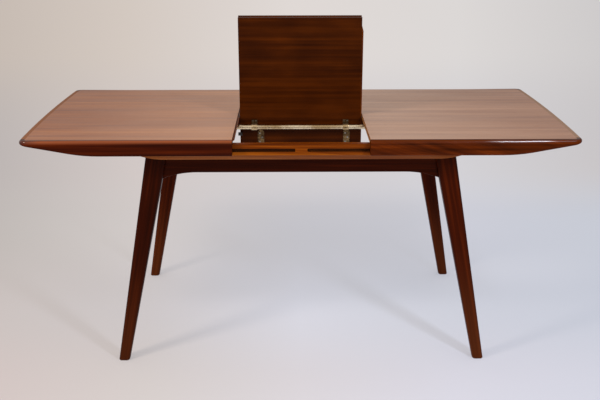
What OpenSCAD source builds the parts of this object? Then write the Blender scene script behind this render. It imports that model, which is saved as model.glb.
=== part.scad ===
// Extending dining table with a folding centre leaf.
// Shown drawn out, with the folded leaf raised on its rod.
// X runs along the table, Y from front to back, Z up; the origin is on the floor under the middle.

/* [Table] */
// Height of the top surface above the floor
table_h = 755; // [700:1:800]
// Depth of the table from front to back
table_d = 900; // [840:5:960]
// Length of one top half, from its inner edge to the middle of its bowed end
half_len = 668; // [640:1:720]
// Gap between the two halves when they are drawn out
gap_w = 430; // [426:1:440]
// Thickness of the top panels and of the leaf
top_t = 18; // [16:0.5:19]
// Thickness of a top panel where it lies over the edge bands
rebate_t = 6; // [4:0.5:7]

/* [Edge bands] */
// Depth of the edge band in the middle of the table
band_h = 50; // [48:0.5:56]
// Width of the front and back bands
band_w = 34; // [28:1:42]
// Width of the band at each bowed end
end_band_w = 50; // [44:1:70]
// Length over which the band's underside rises towards its end
taper_len = 255; // [180:1:270]
// Slope of the rising underside, in degrees
taper_angle = 9.7; // [6:0.1:10]
// Radius of the bend where the underside starts to rise
bend_r = 540; // [200:5:700]
// Length over which the tip's underside rounds up further
nose_len = 75; // [50:1:90]
// Radius of that rounding
nose_r = 550; // [450:10:900]
// How far the end of the table is bowed outwards
end_bow = 10; // [6:1:24]
// Radius of the plan corners
corner_r = 24; // [16:1:32]
// Radius of the upper arris at the tip
arris_r = 5; // [4:0.5:6]
// Radius of the upper arris where the band is deepest
arris_mid_r = 12; // [6:0.5:13]
// Radius of the lower arris
under_r = 5.5; // [4:0.5:6]
// Radius of the band's barrelled outer face
face_r = 65; // [55:1:200]
// Width of the band's lip round the top panel
lip_w = 16; // [15.5:0.5:18]

/* [Tongues] */
// Thickness of the tongues on the inner edges
tongue_t = 5; // [4:0.5:6]
// How far a tongue stands out
tongue_out = 5.5; // [4:0.5:6]
// How deep a tongue is let into its own edge
tongue_in = 8; // [6:0.5:12]
// Distance from the end of the left half's tongue to the edge of the table
tongue_stop = 40; // [36:1:60]
// The same for the leaf's tongue
leaf_tongue_stop = 27; // [20:1:60]
// Length of the chamfer at the end of a tongue
tongue_lead = 20; // [8:1:30]

/* [Legs] */
// Distance from the middle of the table to the middle of a foot, along the table
foot_x = 588.5; // [540:1:610]
// Distance from the front or back edge of the table in to the middle of a foot
foot_in_y = 53; // [40:1:70]
// Distance from the middle of the table to the middle of a leg's top, along the table
leg_top_x = 460; // [450:1:480]
// Distance from the front or back edge of the table in to the middle of a leg's top
leg_top_in_y = 109; // [100:1:120]
// Width of the foot
foot_w = 35; // [28:1:42]
// Width of the leg's top along the table
leg_top_w = 67; // [52:1:70]
// Width of the leg's top across the table
leg_top_depth = 50; // [44:1:56]
// Radius of the leg's edges
leg_edge_r = 10; // [5:1:14]
// Height of the rounding under the foot
foot_round = 3; // [1:0.5:5]

/* [Aprons] */
// Thickness of the aprons
apron_t = 22; // [18:1:28]
// Height of the aprons in the middle
apron_h = 65.5; // [50:0.5:75]
// Distance from the leg at which the lower edge starts to curve down
apron_curve = 110; // [80:1:150]
// How far the lower edge curves down at the leg
apron_drop = 20; // [12:1:28]

/* [Guide rails] */
// Thickness of the front and back guide rails
rail_t = 22; // [20:1:26]
// Depth of a guide rail
rail_h = 53; // [52:1:58]
// Height of the canted strip at the foot of the rail
cant_h = 17; // [12:1:18]
// How far the canted strip slopes inwards
cant_in = 15; // [8:1:17]
// Distance from the middle of the table to the end of a rail
rail_end_x = 515; // [505:1:530]
// Length over which a rail's end sweeps up
rail_sweep = 85; // [60:1:120]
// Height of the guide slot
slot_h = 10.5; // [6:0.5:10.5]
// Depth of the guide slot
slot_depth = 12; // [9:0.5:14]
// Distance from the top surface down to the middle of the slot
slot_drop = 38.5; // [38:0.5:40]
// Distance from the middle of the table to the inner end of a slot
slot_in_x = 19; // [14:1:30]
// Length of the runners that slide in the slots
runner_len = 150; // [100:1:160]
// Distance from a half's inner edge to its runners
runner_x = 17; // [15:1:40]

/* [Cross rails] */
// Thickness of the cross rails
cross_t = 22; // [18:1:24]
// Height of the cross rails
cross_h = 42; // [40:0.5:48]
// Distance from the middle of the table to the inner cross rails
cross_x = 240; // [236:1:260]

/* [Leaf] */
// Width of the leaf's panels between their long edges
leaf_w = 415; // [411:1:416]
// How far the raised leaf leans forward from upright, in degrees
leaf_lean = 6; // [0:0.5:8]
// Distance from the rod to the seam between the two leaf panels
rod_to_seam = 75; // [66:1:85]
// Distance from the top surface down to the middle of the rod
rod_drop = 38; // [37.5:0.5:40]
// Radius of the rod
rod_r = 8; // [6:0.5:9]
// Gap between the two panels when they are folded
fold_gap = 1; // [0.8:0.1:2]

/* [Leaf fittings] */
// Distance from the middle to each rod bracket
bracket_x = 157.5; // [157:0.5:165]
// Width of a rod bracket
bracket_w = 20; // [16:1:20]
// Length of the bracket's base, from the far side of the ring
bracket_len = 32; // [30:1:44]
// Thickness of the bracket's base and of its ring
bracket_t = 3; // [2.5:0.5:4]
// Distance from the middle to the left hinge
left_hinge_x = 136; // [125:0.5:136]
// Distance from the middle to the right hinge
right_hinge_x = 161; // [130:0.5:175]
// Width of a hinge strap
strap_w = 22; // [18:1:22]
// Length of a hinge strap
strap_len = 60; // [50:1:62]
// Thickness of a hinge strap
strap_t = 2; // [1.5:0.5:2.5]
// Outer radius of the hinge knuckles
knuckle_r = 2.8; // [2.5:0.1:3.2]
// Radius of the hinge pins
hinge_pin_r = 1.2; // [1:0.1:1.5]
// Radius of the locating peg
peg_r = 6; // [4:0.5:6]
// Length of the locating peg
peg_len = 14; // [12:1:24]
// Distance from the rod to the locating peg
peg_from_rod = 29; // [24:1:34]
// Radius of the flange that holds each end of the rod
socket_r = 19; // [17:1:19]
// Thickness of that flange
socket_t = 4; // [3:0.5:6]

/* [Fasteners] */
// Radius of a wood screw's shank
screw_r = 1.6; // [1.2:0.1:1.8]
// Radius of a wood screw's head
screw_head_r = 2.8; // [2.2:0.1:3]
// Height of a wood screw's head
screw_head_h = 1.2; // [0.8:0.1:1.5]
// How far a hinge screw reaches into its panel
strap_screw_reach = 9; // [6:0.5:12]
// Distance of a hinge screw from the middle of its strap
strap_screw_side = 4; // [3:0.5:6]
// How far a bracket screw reaches into the leaf
bracket_screw_reach = 10; // [6:0.5:12]
// Length of a socket's screws
socket_screw_len = 16; // [10:1:18]
// Radius of the ring on which they stand
socket_screw_ring = 13.5; // [12:0.5:14]
// How far a runner's screw reaches into the band
runner_screw_reach = 18; // [10:1:22]
// Radius of a runner screw's head
runner_screw_head_r = 2.4; // [2:0.1:3]
// Radius of the rail screws
rail_screw_r = 2; // [1.5:0.1:2.5]
// Radius of a rail screw's head
rail_screw_head_r = 3.6; // [3:0.1:3.6]
// Height of a rail screw's and of a runner screw's head
rail_screw_head_h = 2; // [1:0.5:3]
// How far a rail screw reaches into the cross rail
rail_screw_reach = 22; // [15:1:30]
// Distance of the rail screws from the upper and lower edges of a cross rail
rail_screw_in = 10.5; // [10:0.5:11]
// Radius of the corner bolts
bolt_r = 4; // [3:0.5:5]
// Length of a corner bolt
bolt_len = 76; // [60:1:84]

/* [Clearances] */
// Clearance between parts that slide past each other
slide_clear = 0.3; // [0.2:0.05:0.4]
// Radial clearance of a pin or rod in its hole
pivot_clear = 0.05; // [0.02:0.01:0.08]
// How far a half can still be drawn out to its stop
draw_out = 8; // [4:1:15]

/* [Hidden] */
$fn = 48;
eps = 1;

top_color = "#a5714f";
band_color = "#6b2f10";
rail_color = "#a3521c";
frame_color = "#5a2a12";
leaf_color = "#4a2410";
metal_color = "#b9a77c";
steel_color = "#8d8a84";
peg_color = "#1d1512";

// Heights
panel_z = table_h - top_t;
rebate_z = table_h - rebate_t;
band_z = table_h - band_h;
rail_top = panel_z - slide_clear;
rail_z = rail_top - rail_h;
slot_z = table_h - slot_drop;
frame_top = rail_top - cross_h;
apron_z = frame_top - apron_h;
rod_z = table_h - rod_drop;

// Plan of a half, in its own frame with the inner edge at x = 0
bow_r = (pow(table_d / 2, 2) + end_bow * end_bow) / (2 * end_bow);
bow_x = half_len - bow_r;
corner_y = table_d / 2 - corner_r;
corner_x = bow_x + sqrt(pow(bow_r - corner_r, 2) - corner_y * corner_y);
corner_angle = atan2(corner_y, corner_x - bow_x);
bend_x = half_len - taper_len;
bend_len = bend_r * sin(taper_angle);
end_in_x = half_len - end_band_w;

// Places across the table
foot_y = table_d / 2 - foot_in_y;
leg_top_y = table_d / 2 - leg_top_in_y;
band_in_y = table_d / 2 - band_w;
rail_out_y = band_in_y - slide_clear;
rail_in_y = rail_out_y - rail_t;
apron_out_y = leg_top_y + apron_t / 2;
apron_in_y = leg_top_y - apron_t / 2;
end_rail_x = leg_top_x - cross_t / 2;
slot_out_x = gap_w / 2 + runner_x + runner_len + draw_out + slide_clear;

// Leaf, in its own frame as it lies in the table
rod_y = -rod_to_seam;
seam_gap = slide_clear;
hinge_z = table_h + fold_gap / 2;
underside = panel_z;
swing = 90 - leaf_lean;
rod_len = 2 * (cross_x + cross_t / 2);

// Mirrors what is made for the right and back into the other quarters.
module quarter(side_x, side_y) {
    mirror([side_x < 0 ? 1 : 0, 0, 0])
        mirror([0, side_y < 0 ? 1 : 0, 0])
            children();
}

// Extrudes a shape drawn in Y and Z along X, centred.
module along_x(length) {
    rotate([90, 0, 90])
        linear_extrude(length, center = true)
            children();
}

// Extrudes a shape drawn in X and Z along Y, centred.
module along_y(length) {
    rotate([90, 0, 0])
        linear_extrude(length, center = true)
            children();
}

// Cylinder along X, centred.
module rod_x(r, length) {
    rotate([0, 90, 0])
        cylinder(r = r, h = length, center = true);
}

// Cylinder that points along -Y from its head at the origin.
module screw_y(length, r, head_r, head_h) {
    rotate([90, 0, 0]) {
        cylinder(r = r, h = length);
        cylinder(r = head_r, h = head_h);
    }
}

// Cylinder that points up from its head at the origin.
module screw_z(length) {
    cylinder(r = screw_r, h = length);
    cylinder(r = screw_head_r, h = screw_head_h);
}

// ---------- Legs and under-frame ----------

// X of the leg's middle and its width at a height.
function leg_x(z) = foot_x + (leg_top_x - foot_x) * z / frame_top;
function leg_y(z) = foot_y + (leg_top_y - foot_y) * z / frame_top;
function leg_width(z) = foot_w + (leg_top_w - foot_w) * z / frame_top;
function leg_depth(z) = foot_w + (leg_top_depth - foot_w) * z / frame_top;
function leg_inner_x(z) = leg_x(z) - leg_width(z) / 2;
function leg_inner_y(z) = leg_y(z) - leg_depth(z) / 2;

// Thin slice of the leg with rounded corners.
module leg_slice(z, inset, slice_h) {
    for (dx = [-1, 1])
        for (dy = [-1, 1])
            translate([
                leg_x(z) + dx * (leg_width(z) / 2 - leg_edge_r),
                leg_y(z) + dy * (leg_depth(z) / 2 - leg_edge_r),
                z
            ])
                cylinder(r = leg_edge_r - inset, h = slice_h, $fn = 32);
}

// Tapered and splayed leg, for the right back corner.
module leg() {
    difference() {
        hull() {
            leg_slice(0, foot_round * 0.7, 0.01);
            leg_slice(foot_round, 0, 0.01);
            leg_slice(frame_top - 0.01, 0, 0.01);
        }
        corner_bolt(pivot_clear);
    }
}

// Board with its lower edge curved down to the slanted ends; x_low and x_high are the half
// lengths at the bottom of the drop and at the top.
module apron_shape(x_low, x_high) {
    low_z = apron_z - apron_drop;
    curve_r = (apron_curve * apron_curve + apron_drop * apron_drop) / (2 * apron_drop);
    flat_x = x_low - apron_curve;
    difference() {
        polygon([[-x_high, frame_top], [-x_low, low_z], [x_low, low_z], [x_high, frame_top]]);
        translate([-flat_x, low_z - eps])
            square([2 * flat_x, apron_drop + eps]);
        for (side = [-1, 1])
            translate([side * flat_x, apron_z - curve_r])
                circle(curve_r, $fn = 360);
    }
}

module long_apron(side) {
    color(frame_color)
        translate([0, side * leg_top_y, 0])
            along_y(apron_t)
                apron_shape(leg_inner_x(apron_z - apron_drop), leg_inner_x(frame_top));
}

module short_apron(side) {
    middle_x = leg_x(frame_top - apron_h / 2);
    color(frame_color)
        translate([side * middle_x, 0, 0])
            along_x(apron_t)
                apron_shape(leg_inner_y(apron_z - apron_drop), leg_inner_y(frame_top));
}

// Block across the inside of a corner, and the bolt that draws the leg to it.
block_h = 40;
block_top = frame_top - 6;
block_reach = 48;
short_in_x = leg_x(frame_top - apron_h / 2) - apron_t / 2;
bolt_x = (short_in_x + leg_inner_x(frame_top) - block_reach) / 2;
bolt_y = (apron_in_y + leg_inner_y(frame_top) - block_reach) / 2;

module corner_bolt(clearance) {
    translate([bolt_x, bolt_y, block_top - block_h / 2])
        rotate([0, 90, 45]) {
            translate([0, 0, -8])
                cylinder(r = bolt_r + clearance, h = bolt_len);
            translate([0, 0, -6])
                cylinder(r = 2 * bolt_r, h = 5, $fn = 6);
        }
}

module corner_block() {
    lx = leg_inner_x(frame_top) - slide_clear;
    ly = leg_inner_y(frame_top) - slide_clear;
    difference() {
        translate([0, 0, block_top - block_h])
            linear_extrude(block_h)
                polygon([
                    [lx - block_reach, apron_in_y],
                    [lx, apron_in_y],
                    [lx, ly],
                    [short_in_x, ly],
                    [short_in_x, ly - block_reach]
                ]);
        corner_bolt(pivot_clear);
    }
}

module corner_blocks() {
    color(frame_color)
        for (side_x = [-1, 1])
            for (side_y = [-1, 1])
                quarter(side_x, side_y) corner_block();
}

module corner_bolts() {
    color(steel_color)
        for (side_x = [-1, 1])
            for (side_y = [-1, 1])
                quarter(side_x, side_y) corner_bolt(0);
}

// Wooden rests behind the middle of the frame, on which the stowed leaf lies.
rest_x = 90;
rest_len = 60;
rest_w = 40;
rest_t = 16;
stowed_low = rod_z - rod_drop - fold_gap - top_t;

module stow_rests() {
    color(frame_color)
        for (side = [-1, 1])
            translate([side * rest_x - rest_w / 2, apron_in_y - rest_len, stowed_low - slide_clear - rest_t])
                cube([rest_w, rest_len, rest_t]);
}

// ---------- Guide rails and cross rails ----------

rail_screw_z = [rail_top - rail_screw_in, frame_top + rail_screw_in];

// Outline of a guide rail from the front, with ends that sweep up.
module rail_outline() {
    rise = rail_sweep / 4.5;
    end_r = (rail_sweep * rail_sweep + rise * rise) / (2 * rise);
    flat_x = rail_end_x - rail_sweep;
    intersection() {
        translate([-rail_end_x, rail_z])
            square([2 * rail_end_x, rail_h]);
        union() {
            translate([-flat_x, rail_z])
                square([2 * flat_x, rail_h]);
            for (side = [-1, 1])
                translate([side * flat_x, rail_z + end_r])
                    circle(end_r, $fn = 360);
        }
    }
}

// Guide slot in the outer face, square or round at its inner end.
module guide_slot(side, round_end) {
    mirror([side < 0 ? 1 : 0, 0, 0]) {
        translate([slot_in_x + (round_end ? slot_h / 2 : 0), -rail_out_y - eps, slot_z - slot_h / 2])
            cube([slot_out_x - slot_in_x - (round_end ? slot_h / 2 : 0), slot_depth + eps, slot_h]);
        if (round_end)
            translate([slot_in_x + slot_h / 2, -rail_out_y - eps, slot_z])
                rotate([-90, 0, 0])
                    cylinder(r = slot_h / 2, h = slot_depth + eps);
    }
}

// Rail for the front, with its canted foot.
module guide_rail() {
    difference() {
        intersection() {
            along_x(2 * rail_end_x)
                polygon([
                    [-rail_out_y, rail_top],
                    [-rail_out_y, rail_z + cant_h],
                    [-rail_out_y + cant_in, rail_z],
                    [-rail_in_y, rail_z],
                    [-rail_in_y, rail_top]
                ]);
            along_y(2 * table_d)
                rail_outline();
        }
        guide_slot(-1, false);
        guide_slot(1, true);
        rail_screws_row();
    }
}

// Screws that hold one guide rail to the four cross rails.
module rail_screws_row() {
    for (x = [-leg_top_x, -cross_x - cross_t / 2, cross_x + cross_t / 2, leg_top_x])
        for (z = rail_screw_z)
            translate([x, -rail_out_y, z])
                mirror([0, 1, 0])
                    screw_y(rail_t + rail_screw_reach, rail_screw_r, rail_screw_head_r, rail_screw_head_h);
}

module rail_screws() {
    color(steel_color)
        for (turn = [0, 180])
            rotate([0, 0, turn]) rail_screws_row();
}

// Cross rail between the guide rails, with its inner face at x.
module cross_rail(x) {
    difference() {
        translate([x, -rail_in_y, frame_top])
            cube([cross_t, 2 * rail_in_y, rail_top - frame_top]);
        rail_screws_row();
        rotate([0, 0, 180]) rail_screws_row();
        translate([0, rod_y, rod_z])
            rod_x(rod_r + pivot_clear, rod_len + 2 * slide_clear);
        socket_screws_side(1);
    }
}

module rod_socket(side) {
    mirror([side < 0 ? 1 : 0, 0, 0])
        difference() {
            translate([cross_x - socket_t / 2, rod_y, rod_z])
                rod_x(socket_r, socket_t);
            translate([0, rod_y, rod_z])
                rod_x(rod_r + pivot_clear, rod_len);
            socket_screws_side(1);
        }
}

module socket_screws_side(side) {
    for (turn = [0, 120, 240])
        translate([side * (cross_x - socket_t), rod_y, rod_z])
            rotate([turn + 90, 0, 0])
                translate([0, 0, socket_screw_ring])
                    rotate([0, side * 90, 0])
                        screw_z(socket_screw_len);
}

module socket_screws() {
    color(steel_color)
        for (side = [-1, 1])
            socket_screws_side(side);
}

// ---------- Top halves ----------

// Height of the band's underside at x: level, bent up, sloping, and rounded up at the tip, where
// it leaves just the two arrises.
tip_z = table_h - arris_r - under_r;
nose_x = half_len - nose_len;
function slope_z(x) =
    x <= bend_x ? band_z
    : x <= bend_x + bend_len ? band_z + bend_r - sqrt(bend_r * bend_r - pow(x - bend_x, 2))
    : band_z + bend_r * (1 - cos(taper_angle)) + (x - bend_x - bend_len) * tan(taper_angle);
function under_z(x) = min(tip_z, slope_z(x) + pow(max(0, x - nose_x), 2) / (2 * nose_r));

// A station is a place on the outline: outer point, outward direction, point on the inner edge.
arc_steps = 6;
face_steps = 4;
bend_steps = 4;
corner_steps = 9;
bow_steps = 12;
end_angle = asin(band_in_y / bow_r);

function bow_point(angle) = [bow_x + bow_r * cos(angle), bow_r * sin(angle)];

straight_stations = [
    for (x = concat([0, bend_x], [for (i = [1:bend_steps]) bend_x + bend_len * i / bend_steps]))
        [[x, table_d / 2], [0, 1], [x, band_in_y]]
];

corner_stations = [
    for (i = [0:corner_steps])
        let (
            angle = 90 - (90 - corner_angle) * i / corner_steps,
            out = [cos(angle), sin(angle)]
        )
        [[corner_x, corner_y] + corner_r * out, out, [end_in_x - 20 + 18 * i / corner_steps, band_in_y]]
];

bow_stations = [
    for (i = [0:bow_steps])
        let (point = bow_point(end_angle - 2 * end_angle * i / bow_steps))
        [point, [1, 0], [end_in_x, point[1]]]
];

side_stations = concat(straight_stations, corner_stations, [bow_stations[0]]);

// Arc in the section: points [reach outwards, height] round a centre, from one angle to another.
function section_arc(centre, r, from, to, steps) = [
    for (i = [0:steps])
        let (a = from + (to - from) * i / steps)
        centre + r * [cos(a), sin(a)]
];

// Ring of points round the band's section at a station: from the lip's top over the upper arris,
// the barrelled outer face and the lower arris to the inner edge.
function section_ring(station) =
    let (
        out = station[1],
        inner = station[2],
        low = under_z(station[0][0] - under_r * out[0]),
        up_r = arris_r + (arris_mid_r - arris_r) * (tip_z - low) / (tip_z - band_z),
        half_face = (table_h - up_r - low - under_r) / 2,
        face = [-face_r, low + under_r + half_face],
        up_angle = asin(half_face / (face_r - up_r)),
        down_angle = asin(half_face / (face_r - under_r)),
        up = [-face_r + (face_r - up_r) * cos(up_angle), table_h - up_r],
        down = [-face_r + (face_r - under_r) * cos(down_angle), low + under_r],
        profile = concat(
            section_arc(up, up_r, 90, up_angle, arc_steps),
            [for (i = [1:face_steps - 1])
                let (a = up_angle - (up_angle + down_angle) * i / face_steps)
                face + face_r * [cos(a), sin(a)]],
            section_arc(down, under_r, -down_angle, -90, arc_steps)
        ),
        lip = station[0] - lip_w * out
    )
    concat(
        [for (p = profile) [station[0][0] + p[0] * out[0], station[0][1] + p[0] * out[1], p[1]]],
        [
            [inner[0], inner[1], under_z(inner[0])],
            [inner[0], inner[1], rebate_z],
            [lip[0], lip[1], rebate_z],
            [lip[0], lip[1], table_h]
        ]
    );

// Closed skin over a row of rings with the same number of points.
module skin(rings) {
    n = len(rings[0]);
    last = len(rings) - 1;
    polyhedron(
        points = [for (ring = rings) for (p = ring) p],
        faces = concat(
            [for (r = [0:last - 1]) for (i = [0:n - 1])
                [r * n + i, (r + 1) * n + (i + 1) % n, (r + 1) * n + i]],
            [for (r = [0:last - 1]) for (i = [0:n - 1])
                [r * n + i, r * n + (i + 1) % n, (r + 1) * n + (i + 1) % n]],
            [[for (i = [n - 1:-1:0]) i]],
            [[for (i = [0:n - 1]) last * n + i]]
        )
    );
}

function lip_point(station) = station[0] - lip_w * station[1];

// Outline of the top panel inside the lip.
back_outline = [for (station = corner_stations) lip_point(station)];
bow_outline = [for (station = bow_stations) lip_point(station)];
panel_outline = concat(
    [[0, table_d / 2 - lip_w]],
    back_outline,
    bow_outline,
    [for (i = [corner_steps:-1:0]) [back_outline[i][0], -back_outline[i][1]]],
    [[0, lip_w - table_d / 2]]
);

// Band along the back of a half, with the rounded plan corner.
module side_band() {
    difference() {
        skin([for (station = side_stations) section_ring(station)]);
        runner_screws_side();
    }
}

// Band across the bowed end, between the side bands.
module end_band() {
    skin([for (station = bow_stations) section_ring(station)]);
}

// Places what is made in a half's own frame.
module place_half(side) {
    mirror([side < 0 ? 1 : 0, 0, 0])
        translate([gap_w / 2, 0, 0])
            children();
}

// Strip that reaches from x_low to x_high along the inner edge and stops short of its ends.
module edge_strip(x_low, x_high, height, stop) {
    length = table_d - 2 * stop;
    translate([x_low, -length / 2, table_h - top_t / 2 - height / 2])
        cube([x_high - x_low, length, height]);
}

// Top panel: thick between the bands, and rebated where it lies over them.
module top_panel() {
    translate([0, 0, rebate_z])
        linear_extrude(rebate_t)
            polygon(panel_outline);
    translate([0, -band_in_y, panel_z])
        cube([end_in_x, 2 * band_in_y, rebate_z - panel_z + eps]);
}

module left_top_panel() {
    color(top_color)
        place_half(-1)
            difference() {
                top_panel();
                edge_strip(-eps, tongue_in, tongue_t, tongue_stop);
            }
}

module right_top_panel() {
    color(top_color)
        place_half(1)
            difference() {
                top_panel();
                half_groove();
            }
}

// Groove in the right half for the leaf's tongue.
module half_groove() {
    edge_strip(-eps, tongue_out + slide_clear, tongue_t + 2 * slide_clear, leaf_tongue_stop);
}

module left_tongue() {
    color(rail_color)
        place_half(-1)
            tongue_bar();
}

// Tongue let into an edge at x = 0, with chamfered ends; it stands out towards -x.
module tongue_bar() {
    length = table_d - 2 * tongue_stop;
    translate([0, 0, table_h - top_t / 2 - tongue_t / 2])
        linear_extrude(tongue_t)
            polygon([
                [tongue_in, -length / 2],
                [0, -length / 2],
                [-tongue_out, -length / 2 + tongue_lead],
                [-tongue_out, length / 2 - tongue_lead],
                [0, length / 2],
                [tongue_in, length / 2]
            ]);
}

module band(side_x, side_y) {
    color(band_color)
        place_half(side_x)
            mirror([0, side_y < 0 ? 1 : 0, 0])
                difference() {
                    side_band();
                    if (side_x > 0) half_groove();
                }
}

module end_band_of(side) {
    color(band_color)
        place_half(side)
            end_band();
}

runner_h = slot_h - 2 * slide_clear;

// Runner on the inner face of the back band, in the half's own frame.
module runner() {
    difference() {
        translate([runner_x, band_in_y - slot_depth, slot_z - runner_h / 2])
            cube([runner_len, slot_depth, runner_h]);
        runner_screws_side();
    }
}

module runner_screws_side() {
    for (share = [0.15, 0.85])
        translate([runner_x + share * runner_len, band_in_y - slot_depth, slot_z])
            mirror([0, 1, 0])
                screw_y(slot_depth + runner_screw_reach, screw_r, runner_screw_head_r, rail_screw_head_h);
}

module runners(side) {
    color(rail_color)
        place_half(side)
            for (side_y = [-1, 1])
                mirror([0, side_y < 0 ? 1 : 0, 0])
                    runner();
}

module runner_screws(side) {
    color(steel_color)
        place_half(side)
            for (side_y = [-1, 1])
                mirror([0, side_y < 0 ? 1 : 0, 0])
                    runner_screws_side();
}

// ---------- Leaf ----------

// Turns what lies flat in the table up on the rod, to the raised place.
module raised() {
    translate([0, rod_y, rod_z])
        rotate([-swing, 0, 0])
            translate([0, -rod_y, -rod_z])
                children();
}

// Folds the back leaf over on to the front one.
module folded() {
    raised()
        translate([0, 0, hinge_z])
            rotate([180, 0, 0])
                translate([0, 0, -hinge_z])
                    children();
}

hinge_places = [-left_hinge_x, right_hinge_x];

// One leaf panel, flat, behind the seam; the groove is in its left edge.
module leaf_panel() {
    length = table_d / 2;
    difference() {
        along_x(leaf_w)
            difference() {
                translate([seam_gap / 2, panel_z])
                    square([length - seam_gap / 2, top_t]);
                translate([length - arris_mid_r, table_h - arris_mid_r])
                    difference() {
                        square(arris_mid_r + eps);
                        circle(arris_mid_r);
                    }
            }
        translate([-leaf_w / 2, 0, 0])
            leaf_strip(-eps, tongue_out + slide_clear, tongue_t + 2 * slide_clear, tongue_stop);
        translate([leaf_w / 2, 0, 0])
            leaf_strip(-tongue_in, eps, tongue_t, leaf_tongue_stop);
        for (x = hinge_places)
            translate([x, 0, 0]) {
                translate([0, 0, hinge_z])
                    rod_x(knuckle_r + slide_clear, strap_w + 2 * slide_clear);
                translate([-strap_w / 2, 0, panel_z - eps])
                    cube([strap_w, seam_gap / 2 + strap_t, top_t + 2 * eps]);
            }
    }
}

// Strip along a leaf's side edge, which stops short of its outer end.
module leaf_strip(x_low, x_high, height, stop) {
    translate([x_low, seam_gap / 2 - eps, table_h - top_t / 2 - height / 2])
        cube([x_high - x_low, table_d / 2 - stop + eps - seam_gap / 2, height]);
}

// Tongue in the right edge of a leaf panel, with a chamfered outer end.
module leaf_tongue() {
    far_y = table_d / 2 - leaf_tongue_stop;
    translate([leaf_w / 2, 0, table_h - top_t / 2 - tongue_t / 2])
        linear_extrude(tongue_t)
            polygon([
                [-tongue_in, seam_gap / 2],
                [tongue_out, seam_gap / 2],
                [tongue_out, far_y - tongue_lead],
                [0, far_y],
                [-tongue_in, far_y]
            ]);
}

// Hinge strap behind the seam: it lies on the underside, turns up the seam and ends in knuckles.
// The eyes are the spans along X that this strap's knuckles take.
module hinge_strap(eyes, other_eyes) {
    difference() {
        union() {
            translate([-strap_w / 2, seam_gap / 2, panel_z - strap_t])
                cube([strap_w, strap_len - strap_w / 2, strap_t]);
            translate([0, seam_gap / 2 + strap_len - strap_w / 2, panel_z - strap_t])
                cylinder(r = strap_w / 2, h = strap_t);
            translate([-strap_w / 2, seam_gap / 2, panel_z - strap_t])
                cube([strap_w, strap_t, hinge_z - panel_z + strap_t]);
            for (eye = eyes)
                translate([(eye[0] + eye[1]) / 2, 0, hinge_z])
                    rod_x(knuckle_r, eye[1] - eye[0]);
        }
        for (eye = other_eyes)
            translate([(eye[0] + eye[1]) / 2, 0, hinge_z])
                rod_x(knuckle_r + slide_clear, eye[1] - eye[0] + slide_clear);
        translate([0, 0, hinge_z])
            rod_x(hinge_pin_r + pivot_clear, 2 * strap_w);
        strap_screws();
    }
}

middle_eye = [[-strap_w / 6, strap_w / 6]];
// The outer knuckles stop this far short of the strap's sides.
eye_inset = 0.5;
outer_eyes = [
    [-strap_w / 2 + eye_inset, -strap_w / 6],
    [strap_w / 6, strap_w / 2 - eye_inset]
];

// Places of a strap's screws: the side they lie to and their share of the strap's length.
strap_screw_places = [[-1, 0.26], [1, 0.52], [-1, 0.77]];

module strap_screws() {
    for (place = strap_screw_places)
        translate([place[0] * strap_screw_side, seam_gap / 2 + place[1] * strap_len, panel_z - strap_t])
            screw_z(strap_t + strap_screw_reach);
}

module at_hinges() {
    for (x = hinge_places)
        translate([x, 0, 0]) children();
}

// The front panel and its fittings are the back ones mirrored across the seam.
module front_side() {
    mirror([0, 1, 0]) children();
}

module front_leaf_panel() {
    color(leaf_color)
        raised()
            difference() {
                front_side() leaf_panel();
                bracket_screws_flat();
                front_side() at_hinges() strap_screws();
            }
}

module back_leaf_panel() {
    color(leaf_color)
        folded()
            difference() {
                leaf_panel();
                at_hinges() strap_screws();
            }
}

module front_leaf_tongue() {
    color(rail_color)
        raised() front_side() leaf_tongue();
}

module back_leaf_tongue() {
    color(rail_color)
        folded() leaf_tongue();
}

module front_hinge_straps() {
    color(metal_color)
        raised() front_side() at_hinges() hinge_strap(middle_eye, outer_eyes);
}

module back_hinge_straps() {
    color(metal_color)
        folded() at_hinges() hinge_strap(outer_eyes, middle_eye);
}

module hinge_pins() {
    color(steel_color)
        folded()
            at_hinges()
                translate([0, 0, hinge_z])
                    rod_x(hinge_pin_r, strap_w);
}

module hinge_screws() {
    color(steel_color)
        raised() front_side() at_hinges() strap_screws();
}

module back_hinge_screws() {
    color(steel_color)
        folded() at_hinges() strap_screws();
}

ring_r = rod_r + pivot_clear + bracket_t;

// Bracket that hangs the front leaf on the rod; flat, at the middle of the bracket.
module rod_bracket() {
    difference() {
        union() {
            translate([-bracket_w / 2, rod_y - bracket_len + ring_r, underside - bracket_t])
                cube([bracket_w, bracket_len, bracket_t]);
            translate([-bracket_w / 2, rod_y - ring_r, rod_z])
                cube([bracket_w, 2 * ring_r, underside - rod_z - bracket_t / 2]);
            translate([0, rod_y, rod_z])
                rod_x(ring_r, bracket_w);
        }
        translate([0, rod_y, rod_z])
            rod_x(rod_r + pivot_clear, 2 * bracket_w);
        bracket_screw_pair();
    }
}

module bracket_screw_pair() {
    for (dx = [-1, 1])
        translate([dx * bracket_w / 4, rod_y - (bracket_len - ring_r) * 0.78, underside - bracket_t])
            screw_z(bracket_t + bracket_screw_reach);
}

module bracket_screws_flat() {
    for (side = [-1, 1])
        translate([side * bracket_x, 0, 0]) bracket_screw_pair();
}

module bracket_screws() {
    color(steel_color)
        raised() bracket_screws_flat();
}

module bracket(side) {
    color(metal_color)
        raised()
            translate([side * bracket_x, 0, 0]) rod_bracket();
}

// Peg on a small saddle under the front leaf's left edge.
peg_z = underside - peg_r - 2;
peg_y = rod_y + peg_from_rod;

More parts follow.
